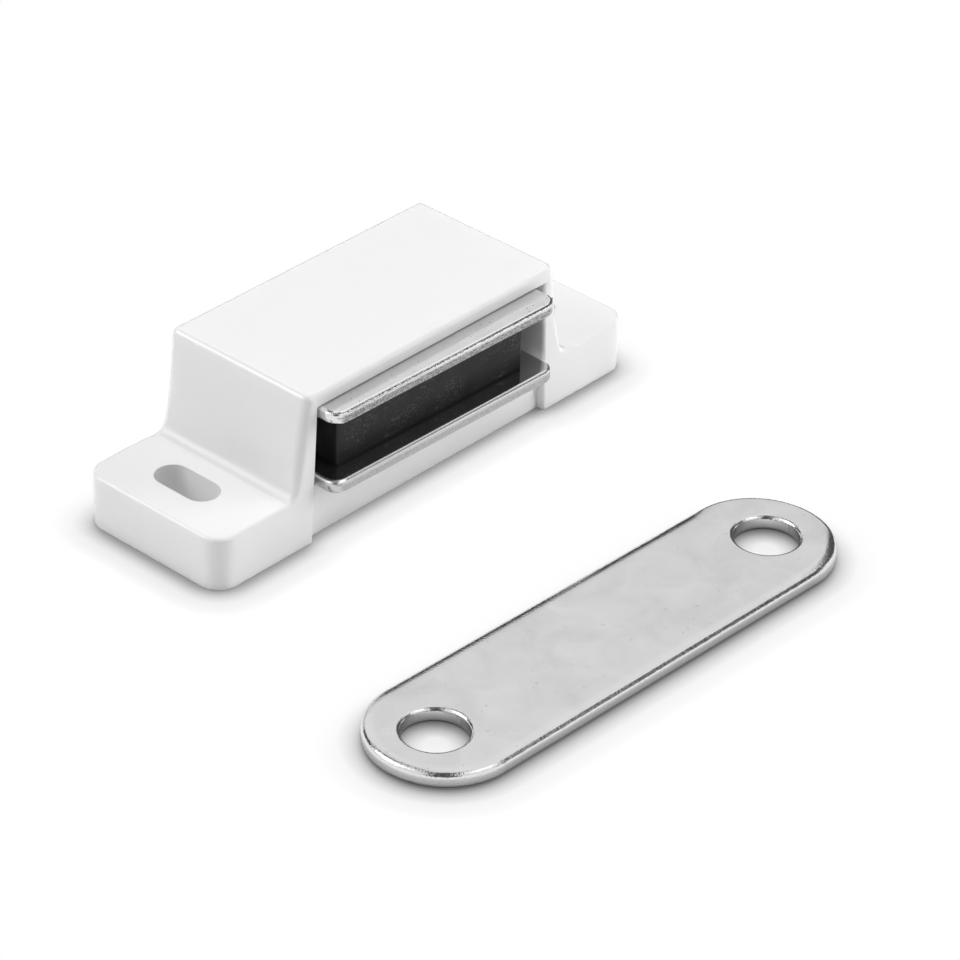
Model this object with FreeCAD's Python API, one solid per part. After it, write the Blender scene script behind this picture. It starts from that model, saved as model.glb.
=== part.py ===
import FreeCAD, Part
import math
import os

# Magnetic cupboard catch: a white moulded housing with two screw ears, a ferrite magnet between
# two steel pole plates that floats in the housing's pocket, and a loose steel strike plate.
# Millimetres. X runs along the housing, the pole plates stand out of the front towards -Y, Z is up.
# The origin is the middle of the housing's base.

# Magnet pack
magnet_length = 21.0
magnet_depth = 10.0
magnet_height = 5.1
magnet_edge_radius = 0.25
magnet_setback = 1.75        # from the pole plates' front edge to the magnet's front face
magnet_side_shift = -0.2     # the magnet sits this far off the middle of its plates
pole_plate_length = 25.2
pole_plate_depth = 14.0
pole_plate_thickness = 1.2
pole_plate_corner_radius = 1.25
pole_plate_edge_radius = 0.28
pole_plate_protrusion = 2.1  # how far the plates stand out of the housing's front
notch_depth = 1.3            # in each end of both plates, for the housing's nibs
notch_width = 2.8

# How the pack lies in its pocket: shoved to one side and a little askew
pack_side_shift = -0.25
pack_turn_deg = -1.3
floor_clearance = 0.1
roof_clearance = 0.05
side_clearance = 0.45
rear_clearance = 1.6

# Housing
top_wall = 1.25
back_wall = 1.5
side_wall = 1.25             # at the top of the block
pocket_floor_height = 4.6
pocket_draft_deg = 2.4
front_recess_depth = 0.7     # the front face below the pocket is set back by this
block_lean_deg = 8.7         # both ends of the block lean in towards the top
block_corner_radius = 0.8    # where the block's corners meet its top
block_foot_radius = 0.5      # the same corners where they meet the foot fillets
block_top_edge_radius = 0.45
foot_fillet_radius = 1.0
ear_length = 8.35            # beyond the foot of the block
ear_height = 4.7
ear_corner_radius = 1.9
ear_edge_radius = 0.3
mouth_side_radius = 0.3
mouth_lip_radius = 0.12
nib_tip_width = 1.1
nib_root_width = 1.7
nib_bite = 0.8               # how far a nib reaches past the end of a centred plate

# Screw slots, one through each ear, long side front to back
slot_width = 3.0
slot_length = 6.2
slot_end_distance = 4.4      # from the ear's end to the middle of its slot
slot_rear_shift = 0.35       # the slots sit this far behind the middle of the housing's depth

# Strike plate, lying loose in front of the housing
strike_length = 47.4
strike_width = 12.4
strike_thickness = 1.35
strike_hole_diameter = 5.2
strike_hole_end_distance = 5.25  # from the plate's end to the middle of its hole
strike_edge_radius = 0.42
strike_hole_edge_radius = 0.34
strike_front_gap = 19.15     # clear floor between the housing's front plane and the plate
strike_side_shift = -7.8
strike_turn_deg = -1.9

cutter_margin = 1.0          # how far every cutting solid runs past what it cuts
same_place = 0.001           # two coordinates nearer than this are one

# Sizes that follow
pack_height = magnet_height + 2 * pole_plate_thickness
pocket_height = floor_clearance + pack_height + roof_clearance
pocket_roof = pocket_floor_height + pocket_height
pocket_half_top = pole_plate_length / 2 + side_clearance
pocket_slope = math.tan(math.radians(pocket_draft_deg))
housing_height = pocket_roof + top_wall
housing_depth = pole_plate_depth - pole_plate_protrusion + rear_clearance + back_wall
front_y = -housing_depth / 2
back_y = housing_depth / 2
pocket_back_y = back_y - back_wall
block_slope = math.tan(math.radians(block_lean_deg))
block_half_top = pocket_half_top + side_wall
block_half_foot = block_half_top + (housing_height - ear_height) * block_slope
housing_half_length = block_half_foot + ear_length
slot_x = housing_half_length - slot_end_distance
plate_front_y = front_y - pole_plate_protrusion
pack_middle_y = plate_front_y + pole_plate_depth / 2
pack_floor_z = pocket_floor_height + floor_clearance
strike_middle_y = front_y - strike_front_gap - strike_width / 2
strike_hole_x = strike_length / 2 - strike_hole_end_distance

up = FreeCAD.Vector(0, 0, 1)
rearward = FreeCAD.Vector(0, 1, 0)


def point(x, y, z):
    return FreeCAD.Vector(x, y, z)


def line(a, b):
    return Part.LineSegment(a, b).toShape()


def arc(a, middle, b):
    return Part.Arc(a, middle, b).toShape()


def face_of(edges):
    return Part.Face(Part.Wire(edges))


def rounded_rectangle(x0, y0, x1, y1, z, radius):
    """Plan outline with four equal corner radii, as a face at height z."""
    inset = radius * (1 - math.sqrt(0.5))
    edges = [
        line(point(x0 + radius, y0, z), point(x1 - radius, y0, z)),
        arc(point(x1 - radius, y0, z), point(x1 - inset, y0 + inset, z), point(x1, y0 + radius, z)),
        line(point(x1, y0 + radius, z), point(x1, y1 - radius, z)),
        arc(point(x1, y1 - radius, z), point(x1 - inset, y1 - inset, z), point(x1 - radius, y1, z)),
        line(point(x1 - radius, y1, z), point(x0 + radius, y1, z)),
        arc(point(x0 + radius, y1, z), point(x0 + inset, y1 - inset, z), point(x0, y1 - radius, z)),
        line(point(x0, y1 - radius, z), point(x0, y0 + radius, z)),
        arc(point(x0, y0 + radius, z), point(x0 + inset, y0 + inset, z), point(x0 + radius, y0, z)),
    ]
    return face_of(edges)


def obround(width, length, height, middle):
    """A through slot's cutter, round-ended, its long side along Y, standing on middle."""
    half_run = (length - width) / 2
    radius = width / 2
    x, y, z = middle.x, middle.y, middle.z
    edges = [
        line(point(x + radius, y - half_run, z), point(x + radius, y + half_run, z)),
        arc(point(x + radius, y + half_run, z), point(x, y + half_run + radius, z),
            point(x - radius, y + half_run, z)),
        line(point(x - radius, y + half_run, z), point(x - radius, y - half_run, z)),
        arc(point(x - radius, y - half_run, z), point(x, y - half_run - radius, z),
            point(x + radius, y - half_run, z)),
    ]
    return face_of(edges).extrude(up * height)


def edges_where(shape, wanted):
    return [edge for edge in shape.Edges if wanted(edge)]


def ends(edge):
    return edge.Vertexes[0].Point, edge.Vertexes[-1].Point


def middle_of(edge):
    return edge.valueAt((edge.FirstParameter + edge.LastParameter) / 2)


def near(a, b):
    return abs(a - b) < same_place


def front_profile():
    """The housing seen from the front: ears, foot fillets, leaning ends and flat top."""
    lean = math.radians(block_lean_deg)
    centre_z = ear_height + foot_fillet_radius
    centre_x = block_half_foot - foot_fillet_radius * block_slope + foot_fillet_radius / math.cos(lean)
    wall_x = centre_x - foot_fillet_radius * math.cos(lean)
    wall_z = centre_z - foot_fillet_radius * math.sin(lean)
    half_turn = (math.radians(90) - lean) / 2
    bow_x = centre_x - foot_fillet_radius * math.sin(half_turn)
    bow_z = centre_z - foot_fillet_radius * math.cos(half_turn)
    edges = [line(point(-housing_half_length, front_y, 0), point(housing_half_length, front_y, 0))]
    for side in (1, -1):
        end_foot = point(side * housing_half_length, front_y, 0)
        end_top = point(side * housing_half_length, front_y, ear_height)
        fillet_start = point(side * centre_x, front_y, ear_height)
        fillet_bow = point(side * bow_x, front_y, bow_z)
        fillet_end = point(side * wall_x, front_y, wall_z)
        block_corner = point(side * block_half_top, front_y, housing_height)
        edges.append(line(end_foot, end_top))
        edges.append(line(end_top, fillet_start))
        edges.append(arc(fillet_start, fillet_bow, fillet_end))
        edges.append(line(fillet_end, block_corner))
    edges.append(line(point(-block_half_top, front_y, housing_height),
                      point(block_half_top, front_y, housing_height)))
    return face_of(Part.__sortEdges__(edges))


def round_ear_corners(body):
    def upright_end(edge):
        a, b = ends(edge)
        return near(abs(a.x), housing_half_length) and near(a.x, b.x) and near(a.y, b.y)
    return body.makeFillet(ear_corner_radius, edges_where(body, upright_end))


def growing(number, a, b, low_radius, high_radius):
    """An edge's number and end radii, in the edge's own order, the larger one at its upper end."""
    if a.z < b.z:
        return number, low_radius, high_radius
    return number, high_radius, low_radius


def round_outer_edges(body):
    """Small rounding on the ears that grows along each foot fillet into the block's corners."""
    document = FreeCAD.newDocument("edges")
    base = document.addObject("Part::Feature", "base")
    base.Shape = body
    rounding = document.addObject("Part::Fillet", "rounding")
    rounding.Base = base
    choices = []
    for number, edge in enumerate(body.Edges, 1):
        a, b = ends(edge)
        mid = middle_of(edge)
        on_side = near(abs(a.y), back_y) and near(abs(b.y), back_y) and near(a.y, b.y)
        on_ear_top = near(a.z, ear_height) and near(b.z, ear_height)
        on_ear_end = near(abs(mid.x), housing_half_length)
        at_foot = near(a.x, b.x) and not on_ear_end
        if on_ear_top and abs(mid.x) > block_half_foot and not at_foot:
            choices.append((number, ear_edge_radius, ear_edge_radius))
        elif on_side and edge.Curve.TypeId == "Part::GeomCircle":
            choices.append(growing(number, a, b, ear_edge_radius, block_foot_radius))
        elif on_side and max(a.z, b.z) > ear_height and abs(a.z - b.z) > foot_fillet_radius:
            choices.append(growing(number, a, b, block_foot_radius, block_corner_radius))
    rounding.Edges = choices
    document.recompute()
    shape = rounding.Shape.copy()
    FreeCAD.closeDocument(document.Name)
    return shape


def round_top(body):
    def on_top(edge):
        a, b = ends(edge)
        return near(a.z, housing_height) and near(b.z, housing_height)
    return body.makeFillet(block_top_edge_radius, edges_where(body, on_top))


def opening_prism(low_z, high_z, start_y, end_y):
    """A stretch of the front opening: its sides spread towards the base by the pocket's draft."""
    low_half = pocket_half_top + (pocket_roof - low_z) * pocket_slope
    high_half = pocket_half_top + (pocket_roof - high_z) * pocket_slope
    corners = [point(-low_half, start_y, low_z), point(low_half, start_y, low_z),
               point(high_half, start_y, high_z), point(-high_half, start_y, high_z)]
    face = face_of([line(corners[i], corners[(i + 1) % 4]) for i in range(4)])
    return face.extrude(rearward * (end_y - start_y))


def retaining_nib(side):
    """A full-height wedge on a pocket wall that the plates' end notches hook around."""
    tip_x = side * (pole_plate_length / 2 - nib_bite)
    root_x = side * (block_half_top - side_wall / 2)
    z = pocket_floor_height
    corners = [point(tip_x, pack_middle_y - nib_tip_width / 2, z),
               point(tip_x, pack_middle_y + nib_tip_width / 2, z),
               point(root_x, pack_middle_y + nib_root_width / 2, z),
               point(root_x, pack_middle_y - nib_root_width / 2, z)]
    face = face_of([line(corners[i], corners[(i + 1) % 4]) for i in range(4)])
    return face.extrude(up * pocket_height)


def round_mouth(body):
    """Rounds the front opening's two upright sides, then the lip above it."""
    def on_front(edge):
        a, b = ends(edge)
        return near(a.y, front_y) and near(b.y, front_y)

    def side_edge(edge):
        a, b = ends(edge)
        return on_front(edge) and near(min(a.z, b.z), 0) and near(max(a.z, b.z), pocket_roof)

    def lip_edge(edge):
        a, b = ends(edge)
        return on_front(edge) and near(a.z, pocket_roof) and near(b.z, pocket_roof)

    body = body.makeFillet(mouth_side_radius, edges_where(body, side_edge))
    return body.makeFillet(mouth_lip_radius, edges_where(body, lip_edge))


def housing():
    body = front_profile().extrude(rearward * housing_depth)
    body = round_ear_corners(body)
    body = round_outer_edges(body)
    body = round_top(body)
    recess_y = front_y + front_recess_depth
    body = body.cut(opening_prism(-cutter_margin, pocket_roof, front_y - cutter_margin, recess_y))
    body = round_mouth(body)
    body = body.cut(opening_prism(pocket_floor_height, pocket_roof, front_y, pocket_back_y))
    for side in (-1, 1):
        body = body.fuse(retaining_nib(side))
        middle = point(side * slot_x, slot_rear_shift, -cutter_margin)
        body = body.cut(obround(slot_width, slot_length, ear_height + 2 * cutter_margin, middle))
    return body.removeSplitter()


def place_in_pack(shape):
    """From the pack's own middle to where it lies: shoved aside and turned about an upright axis."""
    shape.rotate(point(0, 0, 0), up, pack_turn_deg)
    shape.translate(point(pack_side_shift, pack_middle_y, 0))
    return shape


def pole_plate(floor_z):
    half_length = pole_plate_length / 2
    half_depth = pole_plate_depth / 2
    outline = rounded_rectangle(-half_length, -half_depth, half_length, half_depth, floor_z,
                                pole_plate_corner_radius)
    plate = outline.extrude(up * pole_plate_thickness)
    top_z = floor_z + pole_plate_thickness

    def flat_rim(edge):
        a, b = ends(edge)
        return near(a.z, b.z) and (near(a.z, floor_z) or near(a.z, top_z))

    plate = plate.makeFillet(pole_plate_edge_radius, edges_where(plate, flat_rim))
    for side in (-1, 1):
        width = notch_depth + cutter_margin
        left = half_length - notch_depth if side > 0 else -half_length - cutter_margin
        notch = Part.makeBox(width, notch_width, pole_plate_thickness + 2 * cutter_margin,
                             point(left, -notch_width / 2, floor_z - cutter_margin))
        plate = plate.cut(notch)
    return place_in_pack(plate)


def ferrite_magnet():
    start = point(magnet_side_shift - magnet_length / 2, -pole_plate_depth / 2 + magnet_setback,
                  pack_floor_z + pole_plate_thickness)
    block = Part.makeBox(magnet_length, magnet_depth, magnet_height, start)
    upright = edges_where(block, lambda edge: not near(ends(edge)[0].z, ends(edge)[1].z))
    return place_in_pack(block.makeFillet(magnet_edge_radius, upright))


def strike_plate():
    half_length = strike_length / 2
    half_width = strike_width / 2
    run = half_length - half_width
    outline = face_of([
        line(point(-run, -half_width, 0), point(run, -half_width, 0)),
        arc(point(run, -half_width, 0), point(half_length, 0, 0), point(run, half_width, 0)),
        line(point(run, half_width, 0), point(-run, half_width, 0)),
        arc(point(-run, half_width, 0), point(-half_length, 0, 0), point(-run, -half_width, 0)),
    ])
    plate = outline.extrude(up * strike_thickness)
    plate = plate.makeFillet(strike_edge_radius, edges_where(plate, lambda edge: near(
        ends(edge)[0].z, ends(edge)[1].z)))
    for side in (-1, 1):
        middle = point(side * strike_hole_x, 0, -cutter_margin)
        drill = Part.makeCylinder(strike_hole_diameter / 2, strike_thickness + 2 * cutter_margin, middle)
        plate = plate.cut(drill)
    rims = edges_where(plate, lambda edge: edge.Curve.TypeId == "Part::GeomCircle" and near(
        edge.Curve.Radius, strike_hole_diameter / 2))
    plate = plate.makeFillet(strike_hole_edge_radius, rims)
    plate.rotate(point(0, 0, 0), up, strike_turn_deg)
    plate.translate(point(strike_side_shift, strike_middle_y, 0))
    return plate


def save(name, shape):
    solids = shape.Solids
    assert len(solids) == 1 and solids[0].isValid(), name
    solids[0].exportStep("parts/" + name + ".step")
    box = solids[0].BoundBox
    print("%-18s %8.1f mm3  x %.2f..%.2f  y %.2f..%.2f  z %.2f..%.2f" % (
        name, solids[0].Volume, box.XMin, box.XMax, box.YMin, box.YMax, box.ZMin, box.ZMax))


os.makedirs("parts", exist_ok=True)
save("housing", housing())
save("lower_pole_plate", pole_plate(pack_floor_z))
save("ferrite_magnet", ferrite_magnet())
save("upper_pole_plate", pole_plate(pack_floor_z + pole_plate_thickness + magnet_height))
save("strike_plate", strike_plate())
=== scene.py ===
import math
import random

import bpy
from mathutils import Matrix, Vector


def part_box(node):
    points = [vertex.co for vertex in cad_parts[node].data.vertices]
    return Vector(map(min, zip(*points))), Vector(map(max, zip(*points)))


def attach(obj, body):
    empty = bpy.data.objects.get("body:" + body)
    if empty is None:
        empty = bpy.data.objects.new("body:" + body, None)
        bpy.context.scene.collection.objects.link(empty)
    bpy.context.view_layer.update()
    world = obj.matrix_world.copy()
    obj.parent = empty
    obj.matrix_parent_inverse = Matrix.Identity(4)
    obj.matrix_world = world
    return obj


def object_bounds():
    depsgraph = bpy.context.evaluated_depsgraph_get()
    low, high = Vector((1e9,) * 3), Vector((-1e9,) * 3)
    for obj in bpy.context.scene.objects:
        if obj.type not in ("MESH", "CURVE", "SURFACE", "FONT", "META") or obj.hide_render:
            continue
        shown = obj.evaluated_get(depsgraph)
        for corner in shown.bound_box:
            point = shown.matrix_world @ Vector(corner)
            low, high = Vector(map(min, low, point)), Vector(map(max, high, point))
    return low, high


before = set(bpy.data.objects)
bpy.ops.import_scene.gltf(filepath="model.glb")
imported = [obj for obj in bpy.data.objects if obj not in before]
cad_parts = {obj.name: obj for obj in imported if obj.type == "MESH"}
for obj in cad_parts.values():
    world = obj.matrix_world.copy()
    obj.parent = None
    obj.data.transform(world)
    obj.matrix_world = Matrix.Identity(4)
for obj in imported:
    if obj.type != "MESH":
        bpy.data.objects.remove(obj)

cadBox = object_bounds()
scene = bpy.context.scene
mm = 0.001                                   # the scene is in metres, the settings are in millimetres
print("frame loaded:", ", ".join(sorted(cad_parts)))


# small helpers for directions and node trees

def towards(azimuth, elevation):             # azimuth 0 stands in front, at -Y, and 90 at +X
    a, e = math.radians(azimuth), math.radians(elevation)
    return Vector((math.sin(a) * math.cos(e), -math.cos(a) * math.cos(e), math.sin(e)))


def addNode(tree, kind, **settings):
    node = tree.nodes.new(kind)
    for name, value in settings.items():
        setattr(node, name, value)
    return node


def feed(tree, socket, value):               # a link from a socket, or a plain number or colour
    if isinstance(value, bpy.types.NodeSocket):
        tree.links.new(value, socket)
    else:
        socket.default_value = value


def calc(tree, operation, a, b=0.0, clamp=False):
    node = addNode(tree, "ShaderNodeMath", operation=operation, use_clamp=clamp)
    feed(tree, node.inputs[0], a)
    feed(tree, node.inputs[1], b)
    return node.outputs[0]


def remap(tree, value, low, high, toLow=0.0, toHigh=1.0, smooth=False):
    node = addNode(tree, "ShaderNodeMapRange", interpolation_type="SMOOTHSTEP" if smooth else "LINEAR")
    for name, entry in (("Value", value), ("From Min", low), ("From Max", high),
                        ("To Min", toLow), ("To Max", toHigh)):
        feed(tree, node.inputs[name], entry)
    return node.outputs["Result"]


def between(tree, amount, a, b):             # a value from a to b, as a mask goes from nought to one
    return remap(tree, amount, 0.0, 1.0, a, b)


def inverse(tree, mask):
    return calc(tree, "SUBTRACT", 1.0, mask)


def offMiddle(tree, mask):                   # a mask moved to run from -0.5 to 0.5
    return calc(tree, "SUBTRACT", mask, 0.5)


def blendColor(tree, amount, a, b):
    node = addNode(tree, "ShaderNodeMix", data_type="RGBA")
    feed(tree, node.inputs["Factor"], amount)
    feed(tree, node.inputs["A"], a)
    feed(tree, node.inputs["B"], b)
    return node.outputs["Result"]


def grey(level):
    return (level, level, level, 1.0)


def newGroup(name, inputs, outputs):
    tree = bpy.data.node_groups.new(name, "ShaderNodeTree")
    for label, default in inputs.items():
        socket = tree.interface.new_socket(name=label, in_out="INPUT", socket_type="NodeSocketFloat")
        socket.default_value = default
    for label in outputs:
        tree.interface.new_socket(name=label, in_out="OUTPUT", socket_type="NodeSocketFloat")
    return tree, tree.nodes.new("NodeGroupInput"), tree.nodes.new("NodeGroupOutput")


def place(tree, group, **values):            # puts a shared effect in a material with its own values
    node = addNode(tree, "ShaderNodeGroup", node_tree=group)
    for name, value in values.items():
        feed(tree, node.inputs[name], value)
    return node.outputs


def along(tree, vector, axis):               # how far a vector reaches along an axis
    product = addNode(tree, "ShaderNodeVectorMath", operation="DOT_PRODUCT")
    tree.links.new(vector, product.inputs[0])
    product.inputs[1].default_value = axis
    return product.outputs["Value"]


def heightOf(tree):                          # the part's own height above its base, in metres
    axes = addNode(tree, "ShaderNodeSeparateXYZ")
    tree.links.new(addNode(tree, "ShaderNodeTexCoord").outputs["Object"], axes.inputs["Vector"])
    return axes.outputs["Z"]


def skinDirection(tree):                     # the X, Y and Z parts of the way that the skin faces
    axes = addNode(tree, "ShaderNodeSeparateXYZ")
    tree.links.new(addNode(tree, "ShaderNodeNewGeometry").outputs["Normal"], axes.inputs["Vector"])
    return axes.outputs


def inMillimetres(tree, size, stretch=1.0, turn=0.0):
    coords = addNode(tree, "ShaderNodeTexCoord").outputs["Object"]
    if turn:
        mapping = addNode(tree, "ShaderNodeMapping")
        mapping.inputs["Rotation"].default_value[2] = math.radians(turn)
        tree.links.new(coords, mapping.inputs["Vector"])
        coords = mapping.outputs["Vector"]
    scaled = addNode(tree, "ShaderNodeVectorMath", operation="SCALE")
    tree.links.new(coords, scaled.inputs[0])
    feed(tree, scaled.inputs["Scale"], calc(tree, "DIVIDE", 1 / mm, size))
    if stretch == 1.0:
        return scaled.outputs["Vector"]
    longer = addNode(tree, "ShaderNodeVectorMath", operation="MULTIPLY")
    tree.links.new(scaled.outputs["Vector"], longer.inputs[0])
    longer.inputs[1].default_value = (1 / stretch, 1.0, 1.0)
    return longer.outputs["Vector"]


def addNoise(tree, coords, **values):        # the size of its spots comes with the coordinates
    noise = addNode(tree, "ShaderNodeTexNoise")
    tree.links.new(coords, noise.inputs["Vector"])
    noise.inputs["Scale"].default_value = 1.0
    for name, value in values.items():
        feed(tree, noise.inputs[name], value)
    return noise.outputs["Fac"]


# shared effects

def makeGrain():                             # fine even roughness of a moulded or plated skin
    tree, given, result = newGroup("fineGrain", {"Size": 0.15, "Detail": 3.0}, ["Grain"])
    coords = inMillimetres(tree, given.outputs["Size"])
    grain = addNoise(tree, coords, Detail=given.outputs["Detail"], Roughness=0.62)
    tree.links.new(grain, result.inputs["Grain"])
    return tree


def makeClouds():                            # slow patchy change over a face
    tree, given, result = newGroup("slowClouds", {"Size": 5.0, "Contrast": 1.0}, ["Cloud"])
    noise = addNoise(tree, inMillimetres(tree, given.outputs["Size"]), Detail=4.0, Distortion=0.6)
    spread = calc(tree, "MULTIPLY", offMiddle(tree, noise), given.outputs["Contrast"])
    tree.links.new(calc(tree, "ADD", spread, 0.5, clamp=True), result.inputs["Cloud"])
    return tree


scratchSettings = {                          # short hairlines in three directions, in loose patches
    "turns": (8.0, 71.0, 128.0),
    "stretch": 16.0,                         # how much longer than wide a scratch is
    "threshold": 0.78,                       # where the noise begins to count as a scratch
    "thresholdDrop": 0.2,                    # and how far a density of one brings that down
    "softness": 0.06,
    "patchSize": 2.3,
    "patchRange": (0.42, 0.62),
}


def makeScratches(settings):
    tree, given, result = newGroup("hairScratches", {"Size": 0.12, "Density": 0.3}, ["Scratch"])
    total = None
    for turn in settings["turns"]:
        coords = inMillimetres(tree, given.outputs["Size"], settings["stretch"], turn)
        noise = addNoise(tree, coords, Detail=1.0)
        drop = calc(tree, "MULTIPLY", given.outputs["Density"], settings["thresholdDrop"])
        threshold = calc(tree, "SUBTRACT", settings["threshold"], drop)
        ceiling = calc(tree, "ADD", threshold, settings["softness"])
        line = remap(tree, noise, threshold, ceiling, smooth=True)
        total = line if total is None else calc(tree, "MAXIMUM", total, line)
    patches = addNoise(tree, inMillimetres(tree, settings["patchSize"]))
    kept = remap(tree, patches, *settings["patchRange"], smooth=True)
    tree.links.new(calc(tree, "MULTIPLY", total, kept), result.inputs["Scratch"])
    return tree


speckSettings = {                            # scattered small pits, each of its own size
    "smallest": 0.3,                         # of the largest radius
    "core": 0.5,                             # the share of a pit's radius that is at its full depth
}


def makeSpecks(settings):
    tree, given, result = newGroup("pitSpecks", {"Spacing": 0.6, "Radius": 0.2, "Share": 0.4}, ["Speck"])
    cells = addNode(tree, "ShaderNodeTexVoronoi", feature="F1")
    tree.links.new(inMillimetres(tree, given.outputs["Spacing"]), cells.inputs["Vector"])
    cells.inputs["Scale"].default_value = 1.0
    lot = addNode(tree, "ShaderNodeSeparateColor")
    tree.links.new(cells.outputs["Color"], lot.inputs["Color"])
    radius = calc(tree, "MULTIPLY", given.outputs["Radius"],
                  between(tree, lot.outputs["Green"], settings["smallest"], 1.0))
    inside = remap(tree, cells.outputs["Distance"], radius, calc(tree, "MULTIPLY", radius, settings["core"]))
    chosen = calc(tree, "LESS_THAN", lot.outputs["Red"], given.outputs["Share"])
    tree.links.new(calc(tree, "MULTIPLY", inside, chosen), result.inputs["Speck"])
    return tree


roundingSettings = {                         # how far the skin's direction has turned
    "offFace": (0.9995, 0.985),              # its upward part, from a lying face to its rounding
    "offWall": (0.05, 0.25),                 # and from a standing wall to the rounding
    "offAll": (0.985, 0.90),                 # the largest of its three parts, on any edge
    "brokenRange": (0.35, 0.65),
}


def makeRoundings(settings):                 # where the skin turns away from flat, broken up by a noise
    tree, given, result = newGroup("roundedEdges", {"Breakup": 0.4, "Grain Size": 0.3}, ["Rim", "Arris"])
    direction = skinDirection(tree)
    across = [calc(tree, "ABSOLUTE", direction[name]) for name in "XYZ"]
    noise = addNoise(tree, inMillimetres(tree, given.outputs["Grain Size"]), Detail=3.0)
    ragged = calc(tree, "MULTIPLY", offMiddle(tree, noise), given.outputs["Breakup"])
    steepest = calc(tree, "MAXIMUM", across[0], calc(tree, "MAXIMUM", across[1], across[2]))
    rim = calc(tree, "MULTIPLY", remap(tree, across[2], *settings["offFace"]),
               remap(tree, across[2], *settings["offWall"]))
    arris = remap(tree, steepest, *settings["offAll"])
    for name, mask in (("Rim", rim), ("Arris", arris)):
        broken = remap(tree, calc(tree, "ADD", mask, ragged), *settings["brokenRange"], smooth=True)
        tree.links.new(broken, result.inputs[name])
    return tree


fineGrain = makeGrain()
slowClouds = makeClouds()
hairScratches = makeScratches(scratchSettings)
pitSpecks = makeSpecks(speckSettings)
roundedEdges = makeRoundings(roundingSettings)
print("shared effects built:", len(bpy.data.node_groups))


# materials: sizes and depths are in millimetres, and an entry in braces holds a shared effect's own values

def startMaterial(name):
    material = bpy.data.materials.new(name)
    material.use_nodes = True
    tree = material.node_tree
    tree.nodes.clear()
    output = tree.nodes.new("ShaderNodeOutputMaterial")
    shader = tree.nodes.new("ShaderNodeBsdfPrincipled")
    tree.links.new(shader.outputs["BSDF"], output.inputs["Surface"])
    return material, tree, shader


def addBump(tree, shader, layers):           # each layer is a height from 0 to 1 and its depth, coarse first
    normal = None
    for height, depth in layers:
        bump = addNode(tree, "ShaderNodeBump")
        bump.inputs["Strength"].default_value = 1.0
        bump.inputs["Distance"].default_value = depth * mm
        tree.links.new(height, bump.inputs["Height"])
        if normal:
            tree.links.new(normal, bump.inputs["Normal"])
        normal = bump.outputs["Normal"]
    tree.links.new(normal, shader.inputs["Normal"])


def cloudyRoughness(tree, cloud, settings):  # the clouds move the roughness by its spread each way
    return between(tree, cloud, settings["roughness"] - settings["roughnessSpread"],
                   settings["roughness"] + settings["roughnessSpread"])


whitePlastic = {
    "color": 0.94,
    "shadedColor": 0.925,
    "roughness": 0.15,
    "roughnessSpread": 0.025,
    "clouds": {"Size": 3.8, "Contrast": 1.6},
    "waves": {"Size": 4.5, "Contrast": 1.0},
    "waveDepth": 0.012,
    "grain": {"Size": 0.16, "Detail": 3.0},
    "grainDepth": 0.0008,
    "scuffs": {"Size": 0.10, "Density": 0.25},
    "scuffRoughness": 0.12,
    "refraction": 1.50,
    "glow": 0.3,                             # light that wanders through the moulding
    "glowDepth": 1.2,
    "earTop": 4.7,
    "edgeBand": 0.5,                         # below each top face, where hands and the mould polish the edge
    "edgeGloss": 1.0,
    "edgeRoughness": 0.06,
}


def makeWhitePlastic(settings, node):
    material, tree, shader = startMaterial("whiteMoulding")
    cloud = place(tree, slowClouds, **settings["clouds"])["Cloud"]
    wave = place(tree, slowClouds, **settings["waves"])["Cloud"]
    grain = place(tree, fineGrain, **settings["grain"])["Grain"]
    scuff = place(tree, hairScratches, **settings["scuffs"])["Scratch"]
    feed(tree, shader.inputs["Base Color"],
         blendColor(tree, cloud, grey(settings["color"]), grey(settings["shadedColor"])))
    feed(tree, shader.inputs["Roughness"],
         calc(tree, "ADD", cloudyRoughness(tree, cloud, settings),
              calc(tree, "MULTIPLY", scuff, settings["scuffRoughness"])))
    height = heightOf(tree)
    blockTop, earTop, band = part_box(node)[1].z, settings["earTop"] * mm, settings["edgeBand"] * mm
    soft = band / 5
    onBlock = remap(tree, height, blockTop - band - soft, blockTop - band)
    onEar = calc(tree, "MULTIPLY", remap(tree, height, earTop - band - soft, earTop - band),
                 remap(tree, height, earTop, earTop + soft, 1.0, 0.0))
    edge = place(tree, roundedEdges, Breakup=0.0)["Rim"]
    polish = calc(tree, "MULTIPLY", edge, calc(tree, "MAXIMUM", onBlock, onEar))
    feed(tree, shader.inputs["Coat Weight"], calc(tree, "MULTIPLY", polish, settings["edgeGloss"]))
    shader.inputs["Coat Roughness"].default_value = settings["edgeRoughness"]
    shader.inputs["IOR"].default_value = settings["refraction"]
    shader.inputs["Subsurface Weight"].default_value = settings["glow"]
    shader.inputs["Subsurface Radius"].default_value = (1.0, 1.0, 1.0)
    shader.inputs["Subsurface Scale"].default_value = settings["glowDepth"] * mm
    addBump(tree, shader, [(wave, settings["waveDepth"]), (grain, settings["grainDepth"])])
    return material


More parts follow.
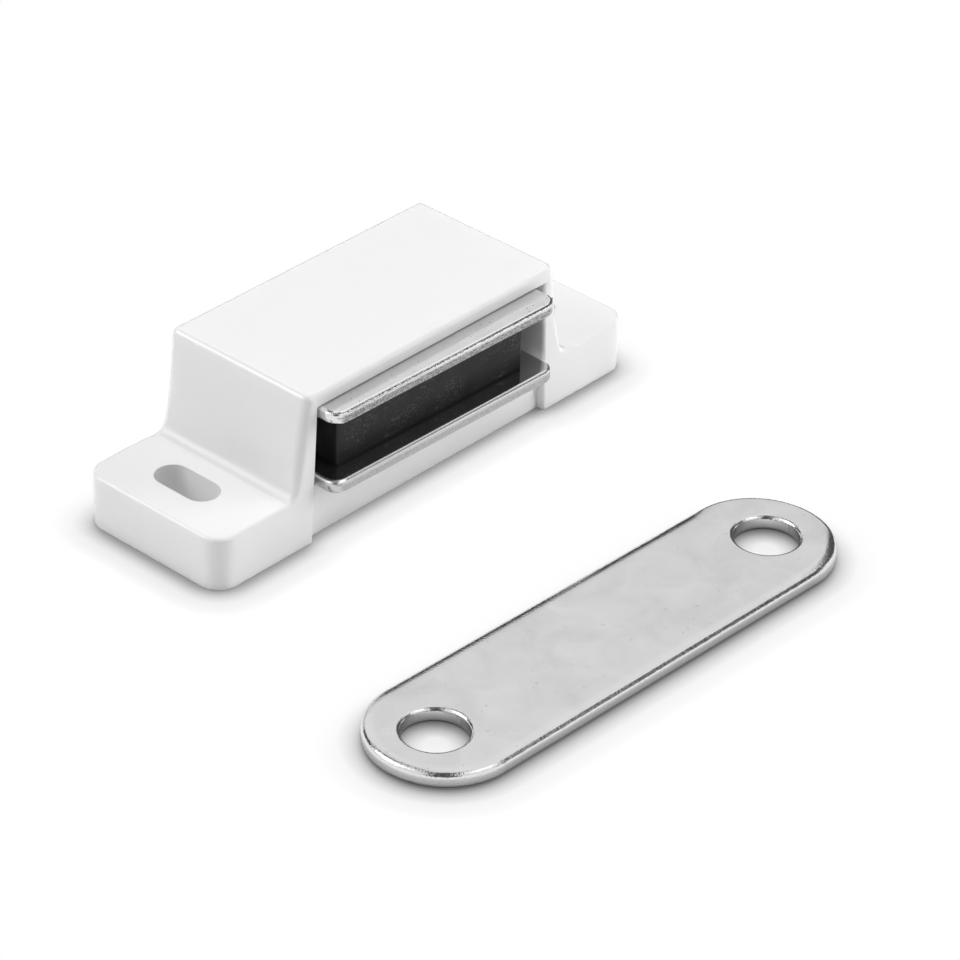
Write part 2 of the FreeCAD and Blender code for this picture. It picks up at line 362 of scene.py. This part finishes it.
ferrite = {
    "color": 0.012,
    "dustColor": 0.026,
    "dustShare": 0.5,
    "edgeColor": 0.05,
    "edgeShare": 0.5,
    "edgeBreakup": 0.7,
    "footShadeColor": 0.002,
    "footShadeHeight": 0.26,                      # painted shade: the dark line where the block stands on its plate
    "gloss": 0.20,
    "roughness": 0.40,
    "roughnessSpread": 0.12,
    "clouds": {"Size": 2.6, "Contrast": 1.8},
    "cloudDepth": 0.01,
    "grain": {"Size": 0.09, "Detail": 4.0},
    "grainRange": (0.3, 0.7),                # where the grain is smoothest and roughest
    "grainDepth": 0.004,
    "scratches": {"Size": 0.12, "Density": 0.75},
    "scratchColor": 0.11,
    "scratchShare": 0.6,
    "scratchDepth": 0.004,
}


def makeFerrite(settings, node):
    material, tree, shader = startMaterial("groundFerrite")
    foot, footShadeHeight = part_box(node)[0].z, settings["footShadeHeight"] * mm
    cloud = place(tree, slowClouds, **settings["clouds"])["Cloud"]
    grain = place(tree, fineGrain, **settings["grain"])["Grain"]
    scratch = place(tree, hairScratches, **settings["scratches"])["Scratch"]
    edge = place(tree, roundedEdges, Breakup=settings["edgeBreakup"])["Arris"]
    color = grey(settings["color"])
    for mask, share, other in ((cloud, "dustShare", "dustColor"), (scratch, "scratchShare", "scratchColor"),
                               (edge, "edgeShare", "edgeColor")):
        color = blendColor(tree, calc(tree, "MULTIPLY", mask, settings[share]), color, grey(settings[other]))
    # painted shade: darker towards the foot, where the block meets its plate
    paintedFootShade = remap(tree, heightOf(tree), foot + footShadeHeight, foot + footShadeHeight / 2)
    feed(tree, shader.inputs["Base Color"], blendColor(tree, paintedFootShade, color, grey(settings["footShadeColor"])))
    feed(tree, shader.inputs["Roughness"],
         remap(tree, grain, *settings["grainRange"], settings["roughness"] - settings["roughnessSpread"],
               settings["roughness"] + settings["roughnessSpread"]))
    shader.inputs["Specular IOR Level"].default_value = settings["gloss"]
    addBump(tree, shader, [(cloud, settings["cloudDepth"]), (grain, settings["grainDepth"]),
                           (inverse(tree, scratch), settings["scratchDepth"])])
    return material


poleSteel = {
    "color": 0.78,
    "dullColor": 0.66,
    "dullShare": 0.55,
    "roughness": 0.12,
    "roughnessSpread": 0.05,
    "clouds": {"Size": 2.2, "Contrast": 1.6},
    "waves": {"Size": 1.6, "Contrast": 1.0},
    "waveDepth": 0.008,
    "grain": {"Size": 0.14, "Detail": 3.0},
    "grainDepth": 0.0012,
    "scratches": {"Size": 0.08, "Density": 0.45},
    "scratchRoughness": 0.12,
    "pits": {"Spacing": 0.32, "Radius": 0.30, "Share": 0.5},
    "pitColor": 0.30,
    "pitDepth": 0.006,
    "rimBreakup": 0.3,
    "rimColor": 0.95,
    "cutTurn": (0.75, 0.35),                 # the skin's upward part, from the faces to the cut edges
    "longTurn": (0.55, 0.25),                # its sideways part, from the corners to the long edges
    "frontTurn": (-0.15, -0.35),             # its part along Y, from the ends to the front edge
    "tornShare": 0.68,                       # the lower share of each cut edge, torn and not burnished
    "tornSoftness": 0.10,
    "tornEdge": {"Size": 0.35, "Contrast": 2.0},
    "tornRaggedness": 0.10,
    "tornColor": 0.50,
    "tornRange": (0.40, 0.60),               # where the furrows go from the torn colour to the dark one
    "tornRoughness": 0.34,
    "bulgeDepth": 0.18,                      # the cut edges swell out round the corners
    "furrows": {"Size": 0.15, "Detail": 2.0},
    "beadHeight": 0.885,                     # the beaded line along the upper plate's edge: its dark colour is painted shadow of the burr, its bump the burr's relief
    "beadReach": (0.055, 0.025),
    "beadRange": (0.44, 0.56),
    "beadShadowColor": 0.16,
    "beadLight": 0.90,
    "beadDepth": 0.03,
    "upper": {"speckle": 0.75, "burrShadowLine": 0.9, "rimRoughness": 0.12, "metallic": 1.0, "grainBoost": 3.0,
              "tornDark": 0.20, "tornDepth": 0.024, "paintedShade": 1.0},
    # the lower plate's steel is darkened by its shade factor, painted shade deep in the pocket under the
    # magnet
    "lower": {"speckle": 0.15, "burrShadowLine": 0.0, "rimRoughness": 0.26, "metallic": 0.985, "grainBoost": 1.0,
              "tornDark": 0.38, "tornDepth": 0.009, "paintedShade": 0.76},
}


def makePoleSteel(settings, level, node):
    material, tree, shader = startMaterial(level + "PoleSteel")
    own = settings[level]
    low, high = (corner.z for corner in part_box(node))
    cloud = place(tree, slowClouds, **settings["clouds"])["Cloud"]
    wave = place(tree, slowClouds, **settings["waves"])["Cloud"]
    grain = place(tree, fineGrain, **settings["grain"])["Grain"]
    scratch = place(tree, hairScratches, **settings["scratches"])["Scratch"]
    speck = place(tree, pitSpecks, **settings["pits"])["Speck"]
    ragged = place(tree, slowClouds, **settings["tornEdge"])["Cloud"]
    furrows = place(tree, fineGrain, **settings["furrows"])["Grain"]
    rim = place(tree, roundedEdges, Breakup=settings["rimBreakup"])["Rim"]
    direction = skinDirection(tree)
    cut = remap(tree, calc(tree, "ABSOLUTE", direction["Z"]), *settings["cutTurn"])
    straight = remap(tree, calc(tree, "ABSOLUTE", direction["X"]), *settings["longTurn"])
    front = remap(tree, direction["Y"], *settings["frontTurn"])

    up = remap(tree, heightOf(tree), low, high)
    up = calc(tree, "ADD", up, calc(tree, "MULTIPLY", offMiddle(tree, ragged), settings["tornRaggedness"]))
    torn = remap(tree, up, settings["tornShare"], settings["tornShare"] - settings["tornSoftness"],
                 smooth=True)
    torn = calc(tree, "MULTIPLY", calc(tree, "MULTIPLY", torn, cut), straight)
    fromMiddle = calc(tree, "SUBTRACT", remap(tree, heightOf(tree), low, high, 0.0, 2.0), 1.0)
    bulge = inverse(tree, calc(tree, "MULTIPLY", fromMiddle, fromMiddle))
    bulge = calc(tree, "MULTIPLY", bulge, inverse(tree, straight))
    line = calc(tree, "ABSOLUTE", calc(tree, "SUBTRACT", up, settings["beadHeight"]))
    line = remap(tree, line, *settings["beadReach"], 0.0, own["burrShadowLine"])
    line = calc(tree, "MULTIPLY", line, front)

    # the shade factor scales both steel colours: painted shade on the lower plate
    color = blendColor(tree, calc(tree, "MULTIPLY", cloud, settings["dullShare"]),
                       grey(settings["color"] * own["paintedShade"]), grey(settings["dullColor"] * own["paintedShade"]))
    color = blendColor(tree, calc(tree, "MULTIPLY", speck, own["speckle"]), color,
                       grey(settings["pitColor"]))
    color = blendColor(tree, rim, color, grey(settings["rimColor"]))
    tornTone = blendColor(tree, remap(tree, furrows, *settings["tornRange"]), grey(settings["tornColor"]),
                          grey(own["tornDark"]))
    color = blendColor(tree, torn, color, tornTone)
    # painted shadow: the dark colour of the burr line along the upper plate's edge
    bead = blendColor(tree, remap(tree, furrows, *settings["beadRange"]), grey(settings["beadShadowColor"]),
                      grey(settings["beadLight"]))
    feed(tree, shader.inputs["Base Color"], blendColor(tree, line, color, bead))
    rough = calc(tree, "ADD", cloudyRoughness(tree, cloud, settings),
                 calc(tree, "MULTIPLY", scratch, settings["scratchRoughness"]))
    rough = between(tree, rim, rough, own["rimRoughness"])
    feed(tree, shader.inputs["Roughness"], between(tree, torn, rough, settings["tornRoughness"]))
    shader.inputs["Metallic"].default_value = own["metallic"]
    addBump(tree, shader, [(bulge, settings["bulgeDepth"]), (wave, settings["waveDepth"]),
                           (grain, settings["grainDepth"] * own["grainBoost"]),
                           (inverse(tree, speck), settings["pitDepth"] * own["speckle"]),
                           (calc(tree, "MULTIPLY", furrows, torn), own["tornDepth"]),
                           (calc(tree, "MULTIPLY", furrows, line), settings["beadDepth"])])
    return material


strikeSteel = {
    "color": 0.81,
    "dullColor": 0.75,
    "roughness": 0.24,
    "roughnessSpread": 0.04,
    "edgeRoughness": 0.09,
    "clouds": {"Size": 3.4, "Contrast": 1.9},
    "cloudDepth": 0.004,
    "grain": {"Size": 0.13, "Detail": 4.0},
    "grainDepth": 0.0014,
    "scratches": {"Size": 0.09, "Density": 0.35},
    "scratchRoughness": 0.08,
    "pits": {"Spacing": 0.7, "Radius": 0.2, "Share": 0.35},
    "pitColor": 0.36,
    "pitShare": 0.3,
    "pitDepth": 0.003,
    "rimBreakup": 0.3,
    "dents": {"Size": 0.17, "Detail": 2.0},  # the tumbling barrel beats the rounding
    "dentDepth": 0.022,
    "beatenShare": 0.8,                      # how much of the dents the face beside the rounding has
    "turn": -1.9,                            # the plate lies this far round from X, in degrees
    "rollWidth": 1.4,                        # the press draws the plate's face down a little at its edge
    "rollDepth": 0.196,
    "rollPower": 2.5,
    "rollPolish": (0.15, 0.60),              # where the drawn face goes over to the edge's roughness
    "frontDraw": 1.9,                        # at the right end it is deep in front and nearly none behind
    "rearDraw": 0.1,
    "frontSide": (-0.9, -0.3),               # from front to behind, as shares of the end's radius
}


def makeEdgeRoll(tree, settings, node):      # gives how near the outline is, and the face's height there
    low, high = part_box(node)
    middle, half = (low + high) / 2, (high - low) / 2
    turn = math.radians(settings["turn"])
    run = (half.x - half.y) / (math.cos(turn) - abs(math.sin(turn)))
    radius = half.x - run * math.cos(turn)
    axis = Vector((math.cos(turn), math.sin(turn), 0.0))
    side = Vector((-math.sin(turn), math.cos(turn), 0.0))
    coords = addNode(tree, "ShaderNodeTexCoord").outputs["Object"]
    lengthwise = calc(tree, "SUBTRACT", along(tree, coords, axis), middle.dot(axis))
    crosswise = calc(tree, "SUBTRACT", along(tree, coords, side), middle.dot(side))
    beyond = calc(tree, "MAXIMUM", calc(tree, "SUBTRACT", calc(tree, "ABSOLUTE", lengthwise), run), 0.0)
    reach = calc(tree, "SQRT", calc(tree, "ADD", calc(tree, "MULTIPLY", beyond, beyond),
                                    calc(tree, "MULTIPLY", crosswise, crosswise)))
    outer = remap(tree, reach, radius - settings["rollWidth"] * mm, radius)
    soft = radius / 3
    atEnd = remap(tree, lengthwise, run - soft, run + soft, smooth=True)
    front, rear = (share * radius for share in settings["frontSide"])
    endDraw = remap(tree, crosswise, front, rear, settings["frontDraw"], settings["rearDraw"], smooth=True)
    drawn = between(tree, atEnd, 1.0, endDraw)
    fall = calc(tree, "MULTIPLY", calc(tree, "POWER", outer, settings["rollPower"]), drawn)
    return calc(tree, "MULTIPLY", outer, drawn, clamp=True), inverse(tree, fall)


def makeStrikeSteel(settings, node):
    material, tree, shader = startMaterial("tumbledStrikeSteel")
    outer, roll = makeEdgeRoll(tree, settings, node)
    cloud = place(tree, slowClouds, **settings["clouds"])["Cloud"]
    grain = place(tree, fineGrain, **settings["grain"])["Grain"]
    dents = place(tree, fineGrain, **settings["dents"])["Grain"]
    scratch = place(tree, hairScratches, **settings["scratches"])["Scratch"]
    speck = place(tree, pitSpecks, **settings["pits"])["Speck"]
    rim = place(tree, roundedEdges, Breakup=settings["rimBreakup"])["Rim"]
    color = blendColor(tree, cloud, grey(settings["color"]), grey(settings["dullColor"]))
    feed(tree, shader.inputs["Base Color"],
         blendColor(tree, calc(tree, "MULTIPLY", speck, settings["pitShare"]), color,
                    grey(settings["pitColor"])))
    flat = calc(tree, "ADD", cloudyRoughness(tree, cloud, settings),
                calc(tree, "MULTIPLY", scratch, settings["scratchRoughness"]))
    polished = calc(tree, "MAXIMUM", rim, remap(tree, outer, *settings["rollPolish"], smooth=True))
    feed(tree, shader.inputs["Roughness"], between(tree, polished, flat, settings["edgeRoughness"]))
    shader.inputs["Metallic"].default_value = 1.0
    beaten = calc(tree, "MAXIMUM", rim, calc(tree, "MULTIPLY", outer, settings["beatenShare"]))
    addBump(tree, shader, [(roll, settings["rollDepth"]), (cloud, settings["cloudDepth"]),
                           (grain, settings["grainDepth"]),
                           (calc(tree, "MULTIPLY", dents, beaten), settings["dentDepth"]),
                           (inverse(tree, speck), settings["pitDepth"])])
    return material


def dress(node, material):                   # gives a CAD node its finish
    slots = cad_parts[node].data.materials
    slots.clear()
    slots.append(material)


dress("housing", makeWhitePlastic(whitePlastic, "housing"))
dress("ferrite_magnet", makeFerrite(ferrite, "ferrite_magnet"))
dress("strike_plate", makeStrikeSteel(strikeSteel, "strike_plate"))
for level in ("lower", "upper"):
    plate = level + "_pole_plate"
    dress(plate, makePoleSteel(poleSteel, level, plate))
print("finishes on:", len(bpy.data.materials))


# the burr, a torn lip that the press left on the upper plate's front edge

burrSettings = {
    "turn": -1.3,                            # the plate's own turn and place in its pocket
    "shift": (-0.25, -2.6),
    "halfLength": 12.6,
    "halfDepth": 7.0,
    "cornerRadius": 1.25,
    "edgeRadius": 0.28,
    "start": 1.5,                            # to the right of the plate's middle
    "cornerSweep": 62.0,                     # and on round the corner, in degrees
    "steps": 150,
    "height": 0.13,
    "growth": 1.5,                           # the lip grows to the right by this power
    "raggedness": (0.25, 1.0),
    "leastHeight": 0.006,
    "endHeight": 0.004,
    "angles": (64.0, 47.0, 34.0),            # foot, crest and foot on the plate's rounded edge
    "footDepth": 0.02,
    "color": 0.05,
    "lightColor": 0.20,
    "roughness": (0.25, 0.50),
    "grain": {"Size": 0.05, "Detail": 3.0},
    "grainRange": (0.3, 0.7),
    "grainDepth": 0.006,
    "seed": 11,
}


def burrMesh(settings):
    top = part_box("upper_pole_plate")[1].z / mm
    drawn = random.Random(settings["seed"])
    radius, edge = settings["cornerRadius"], settings["edgeRadius"]
    straight = settings["halfLength"] - radius - settings["start"]
    length = straight + radius * math.radians(settings["cornerSweep"])
    turn = math.radians(settings["turn"])
    foot, ring = edge - settings["footDepth"], len(settings["angles"])
    corners, faces = [], []
    for step in range(settings["steps"] + 1):
        run = length * step / settings["steps"]
        bend = max(0.0, run - straight) / radius
        out = (math.sin(bend), -math.cos(bend))
        pivot = (settings["start"] + min(run, straight), -settings["halfDepth"] + radius)
        growth = (run / length) ** settings["growth"]
        tall = settings["height"] * growth * drawn.uniform(*settings["raggedness"]) + settings["leastHeight"]
        if step == settings["steps"]:
            tall = settings["endHeight"]
        for angle, reach in zip(settings["angles"], (foot, edge + tall, foot)):
            lift = math.radians(angle)
            side = radius - edge + reach * math.cos(lift)
            x, y = pivot[0] + out[0] * side, pivot[1] + out[1] * side
            z = top - edge + reach * math.sin(lift)
            corners.append(((x * math.cos(turn) - y * math.sin(turn) + settings["shift"][0]) * mm,
                            (x * math.sin(turn) + y * math.cos(turn) + settings["shift"][1]) * mm, z * mm))
    for first in range(0, settings["steps"] * ring, ring):
        for k in range(ring):
            a, b = first + k, first + (k + 1) % ring
            faces.append((a, b, b + ring, a + ring))
    last = settings["steps"] * ring
    faces += [(2, 1, 0), (last, last + 1, last + 2)]
    mesh = bpy.data.meshes.new("plateBurr")
    mesh.from_pydata(corners, [], faces)
    mesh.update()
    return mesh


def makeBurr(settings):
    mesh = burrMesh(settings)
    burr = bpy.data.objects.new("plateBurr", mesh)
    scene.collection.objects.link(burr)
    material, tree, shader = startMaterial("tornSteel")
    grain = place(tree, fineGrain, **settings["grain"])["Grain"]
    feed(tree, shader.inputs["Base Color"],
         blendColor(tree, grain, grey(settings["color"]), grey(settings["lightColor"])))
    feed(tree, shader.inputs["Roughness"],
         remap(tree, grain, *settings["grainRange"], *settings["roughness"]))
    shader.inputs["Metallic"].default_value = 1.0
    addBump(tree, shader, [(grain, settings["grainDepth"])])
    mesh.materials.append(material)
    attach(burr, "magnet_pack")


makeBurr(burrSettings)
print("burr on the upper plate in place")


# floor, world, lamps and camera

floorSettings = {
    "size": 900.0,
    "drop": 0.02,                            # just under the base, so that the faces don't coincide
    "color": 0.93,
    "keyAzimuth": 131.0,                     # the shadows fall away from the light behind the object
    "keyLean": 30.0,
    "nearReach": 1.8,                        # how far round a spot its open sky is looked for
    "farReach": 3.5,
    "skySamples": 8,
    "mirroredDepth": 1.7,                    # the contact shadow is deeper in the steel than to the eye
    # the open sky that a spot sees, and how bright the spot looks
    "shadowCurve": ((0.0, 0.12), (0.14, 0.25), (0.24, 0.38), (0.34, 0.52), (0.42, 0.61), (0.56, 0.72),
                    (0.70, 0.795), (0.82, 0.85), (0.91, 0.89), (0.97, 0.955), (1.0, 1.0)),
}


def contactShadow(tree, settings):           # how bright the floor looks from its open sky
    key = addNode(tree, "ShaderNodeCombineXYZ")
    for axis, value in enumerate(towards(settings["keyAzimuth"], 90.0 - settings["keyLean"])):
        key.inputs[axis].default_value = value
    sky = []
    for reach in ("nearReach", "farReach"):
        openSky = addNode(tree, "ShaderNodeAmbientOcclusion", samples=settings["skySamples"])
        openSky.inputs["Distance"].default_value = settings[reach] * mm
        tree.links.new(key.outputs["Vector"], openSky.inputs["Normal"])
        sky.append(openSky.outputs["AO"])
    seenSky = calc(tree, "MULTIPLY", sky[0], calc(tree, "SQRT", calc(tree, "MULTIPLY", sky[0], sky[1])))
    paintedShade = addNode(tree, "ShaderNodeFloatCurve")
    curve = paintedShade.mapping.curves[0]
    for spot, value in settings["shadowCurve"][1:-1]:
        curve.points.new(spot, value)
    curve.points[0].location = settings["shadowCurve"][0]
    curve.points[-1].location = settings["shadowCurve"][-1]
    paintedShade.mapping.extend = "HORIZONTAL"
    paintedShade.mapping.update()
    tree.links.new(seenSky, paintedShade.inputs["Value"])
    return paintedShade.outputs["Value"]


def makeFloor(settings):
    half = settings["size"] / 2 * mm
    level = cadBox[0].z - settings["drop"] * mm
    mesh = bpy.data.meshes.new("studioFloor")
    mesh.from_pydata([(-half, -half, level), (half, -half, level), (half, half, level), (-half, half, level)],
                     [], [(0, 1, 2, 3)])
    floor = bpy.data.objects.new("studioFloor", mesh)
    scene.collection.objects.link(floor)
    material = bpy.data.materials.new("paleFloor")
    material.use_nodes = True
    tree = material.node_tree
    tree.nodes.clear()
    output = tree.nodes.new("ShaderNodeOutputMaterial")
    diffuse = addNode(tree, "ShaderNodeBsdfDiffuse")
    diffuse.inputs["Color"].default_value = grey(settings["color"])
    seen = addNode(tree, "ShaderNodeEmission")
    seen.inputs["Strength"].default_value = 1.0
    paintedShade = contactShadow(tree, settings)
    path = addNode(tree, "ShaderNodeLightPath")
    mirrored = calc(tree, "POWER", paintedShade, settings["mirroredDepth"])
    feed(tree, seen.inputs["Color"], between(tree, path.outputs["Is Glossy Ray"], paintedShade, mirrored))
    direct = calc(tree, "MAXIMUM", path.outputs["Is Camera Ray"],
                  calc(tree, "MAXIMUM", path.outputs["Is Glossy Ray"], path.outputs["Is Transmission Ray"]))
    mix = addNode(tree, "ShaderNodeMixShader")
    feed(tree, mix.inputs["Fac"], direct)
    tree.links.new(diffuse.outputs["BSDF"], mix.inputs[1])
    tree.links.new(seen.outputs["Emission"], mix.inputs[2])
    tree.links.new(mix.outputs["Shader"], output.inputs["Surface"])
    mesh.materials.append(material)


worldSettings = {
    "domeLevel": 0.37,                       # what the diffuse surfaces receive from all around
    "domeShade": {"azimuth": -48.7, "elevation": 22.0, "inner": 26.0, "outer": 80.0, "level": 0.0},
    "seenLevel": 1.0,
    "glossLevel": 0.88,                      # the tent's cloth, as metal and plastic mirror it
    "gaps": {                                # unlit openings in the tent, mirrored only
        "opening": {"azimuth": -48.7, "elevation": 16.0, "inner": 18.0, "outer": 24.0, "level": 0.08},
        "openingTop": {"azimuth": -48.7, "elevation": 50.0, "inner": 14.0, "outer": 21.0, "level": 0.08},
        "ridge": {"azimuth": -48.7, "elevation": 80.0, "inner": 11.0, "outer": 20.0, "level": 0.12},
        "rightSeam": {"azimuth": 53.0, "elevation": 30.0, "inner": 14.0, "outer": 19.0, "level": 0.10},
        "rightFoot": {"azimuth": 40.0, "elevation": 6.0, "inner": 12.0, "outer": 16.0, "level": 0.10},
        "right": {"azimuth": 95.0, "elevation": 18.0, "inner": 22.0, "outer": 27.0, "level": 0.09},
        "rear": {"azimuth": 138.0, "elevation": -2.0, "inner": 26.0, "outer": 31.0, "level": 0.07},
        "rearLeft": {"azimuth": -173.0, "elevation": 24.0, "inner": 15.0, "outer": 21.0, "level": 0.08},
        "rearTop": {"azimuth": 165.0, "elevation": 58.0, "inner": 8.0, "outer": 16.0, "level": 0.15},
    },
}


def spotMask(tree, direction, patch):        # one inside a round patch of the sky, nought outside it
    facing = along(tree, direction, towards(patch["azimuth"], patch["elevation"]))
    return remap(tree, facing, math.cos(math.radians(patch["outer"])),
                 math.cos(math.radians(patch["inner"])), smooth=True)


def makeWorld(settings):
    world = bpy.data.worlds.new("whiteTent")
    scene.world = world
    world.use_nodes = True
    tree = world.node_tree
    tree.nodes.clear()
    output = tree.nodes.new("ShaderNodeOutputWorld")
    background = tree.nodes.new("ShaderNodeBackground")
    background.inputs["Color"].default_value = grey(1.0)
    path = addNode(tree, "ShaderNodeLightPath")
    direction = addNode(tree, "ShaderNodeTexCoord").outputs["Generated"]
    shaded = settings["domeShade"]
    dome = between(tree, spotMask(tree, direction, shaded), settings["domeLevel"], shaded["level"])
    gloss = settings["glossLevel"]
    for gap in settings["gaps"].values():
        gloss = between(tree, spotMask(tree, direction, gap), gloss, gap["level"])
    level = between(tree, path.outputs["Is Glossy Ray"], dome, gloss)
    clear = calc(tree, "MAXIMUM", path.outputs["Is Camera Ray"], path.outputs["Is Transmission Ray"])
    feed(tree, background.inputs["Strength"], between(tree, clear, level, settings["seenLevel"]))
    tree.links.new(background.outputs["Background"], output.inputs["Surface"])


lamps = {                                    # levels are what a white surface facing the lamp returns
    "overhead": {"level": 0.37, "azimuth": 0.0, "elevation": 88.0, "distance": 420.0, "size": 240.0,
                 "mirrored": False},
    "leftBox": {"level": 0.26, "azimuth": -131.0, "elevation": 38.0, "distance": 420.0, "size": 260.0,
                "mirrored": True},
    "leftFill": {"level": 0.15, "azimuth": -125.0, "elevation": 35.0, "distance": 420.0, "size": 260.0,
                 "mirrored": False},
    "frontBox": {"level": 0.06, "azimuth": 14.0, "elevation": 46.0, "distance": 420.0, "size": 230.0,
                 "mirrored": True},
    "right": {"level": 0.47, "azimuth": 50.0, "elevation": 22.0, "distance": 215.0, "size": 110.0,
              "mirrored": False},
}


def makeLamp(name, settings, aim):
    data = bpy.data.lights.new(name, "AREA")
    data.shape = "SQUARE"
    data.size = settings["size"] * mm
    data.energy = settings["level"] * (math.pi * settings["distance"] * mm) ** 2
    lamp = bpy.data.objects.new(name, data)
    away = towards(settings["azimuth"], settings["elevation"])
    lamp.location = aim + away * settings["distance"] * mm
    lamp.rotation_mode = "QUATERNION"
    lamp.rotation_quaternion = (-away).to_track_quat("-Z", "Y")
    lamp.visible_camera = False
    lamp.visible_glossy = settings["mirrored"]
    scene.collection.objects.link(lamp)


cameraSettings = {
    "azimuth": -48.726,
    "elevation": 33.304,
    "roll": 1.904,
    "aim": (2.1457, -10.852, 0.0),           # on the floor between the housing and the strike plate
    "distance": 343.976,
    "lens": 160.874,
    "sensor": 36.0,
}


def makeCamera(settings):
    data = bpy.data.cameras.new("productCamera")
    data.sensor_width = settings["sensor"]
    data.lens = settings["lens"]
    back = towards(settings["azimuth"], settings["elevation"])
    azimuth, roll = math.radians(settings["azimuth"]), math.radians(settings["roll"])
    level = Vector((math.cos(azimuth), math.sin(azimuth), 0.0))
    upright = back.cross(level)
    right = level * math.cos(roll) + upright * math.sin(roll)
    top = upright * math.cos(roll) - level * math.sin(roll)
    camera = bpy.data.objects.new("productCamera", data)
    spot = (Vector(settings["aim"]) + back * settings["distance"]) * mm
    camera.matrix_world = Matrix.Translation(spot) @ Matrix((right, top, back)).transposed().to_4x4()
    scene.collection.objects.link(camera)
    scene.camera = camera


makeFloor(floorSettings)
makeWorld(worldSettings)
middle = (cadBox[0] + cadBox[1]) / 2
for lampName, lampSettings in lamps.items():
    makeLamp(lampName, lampSettings, middle)
makeCamera(cameraSettings)
scene.view_settings.view_transform = "Standard"
print("stage set with", len(lamps), "lamps")
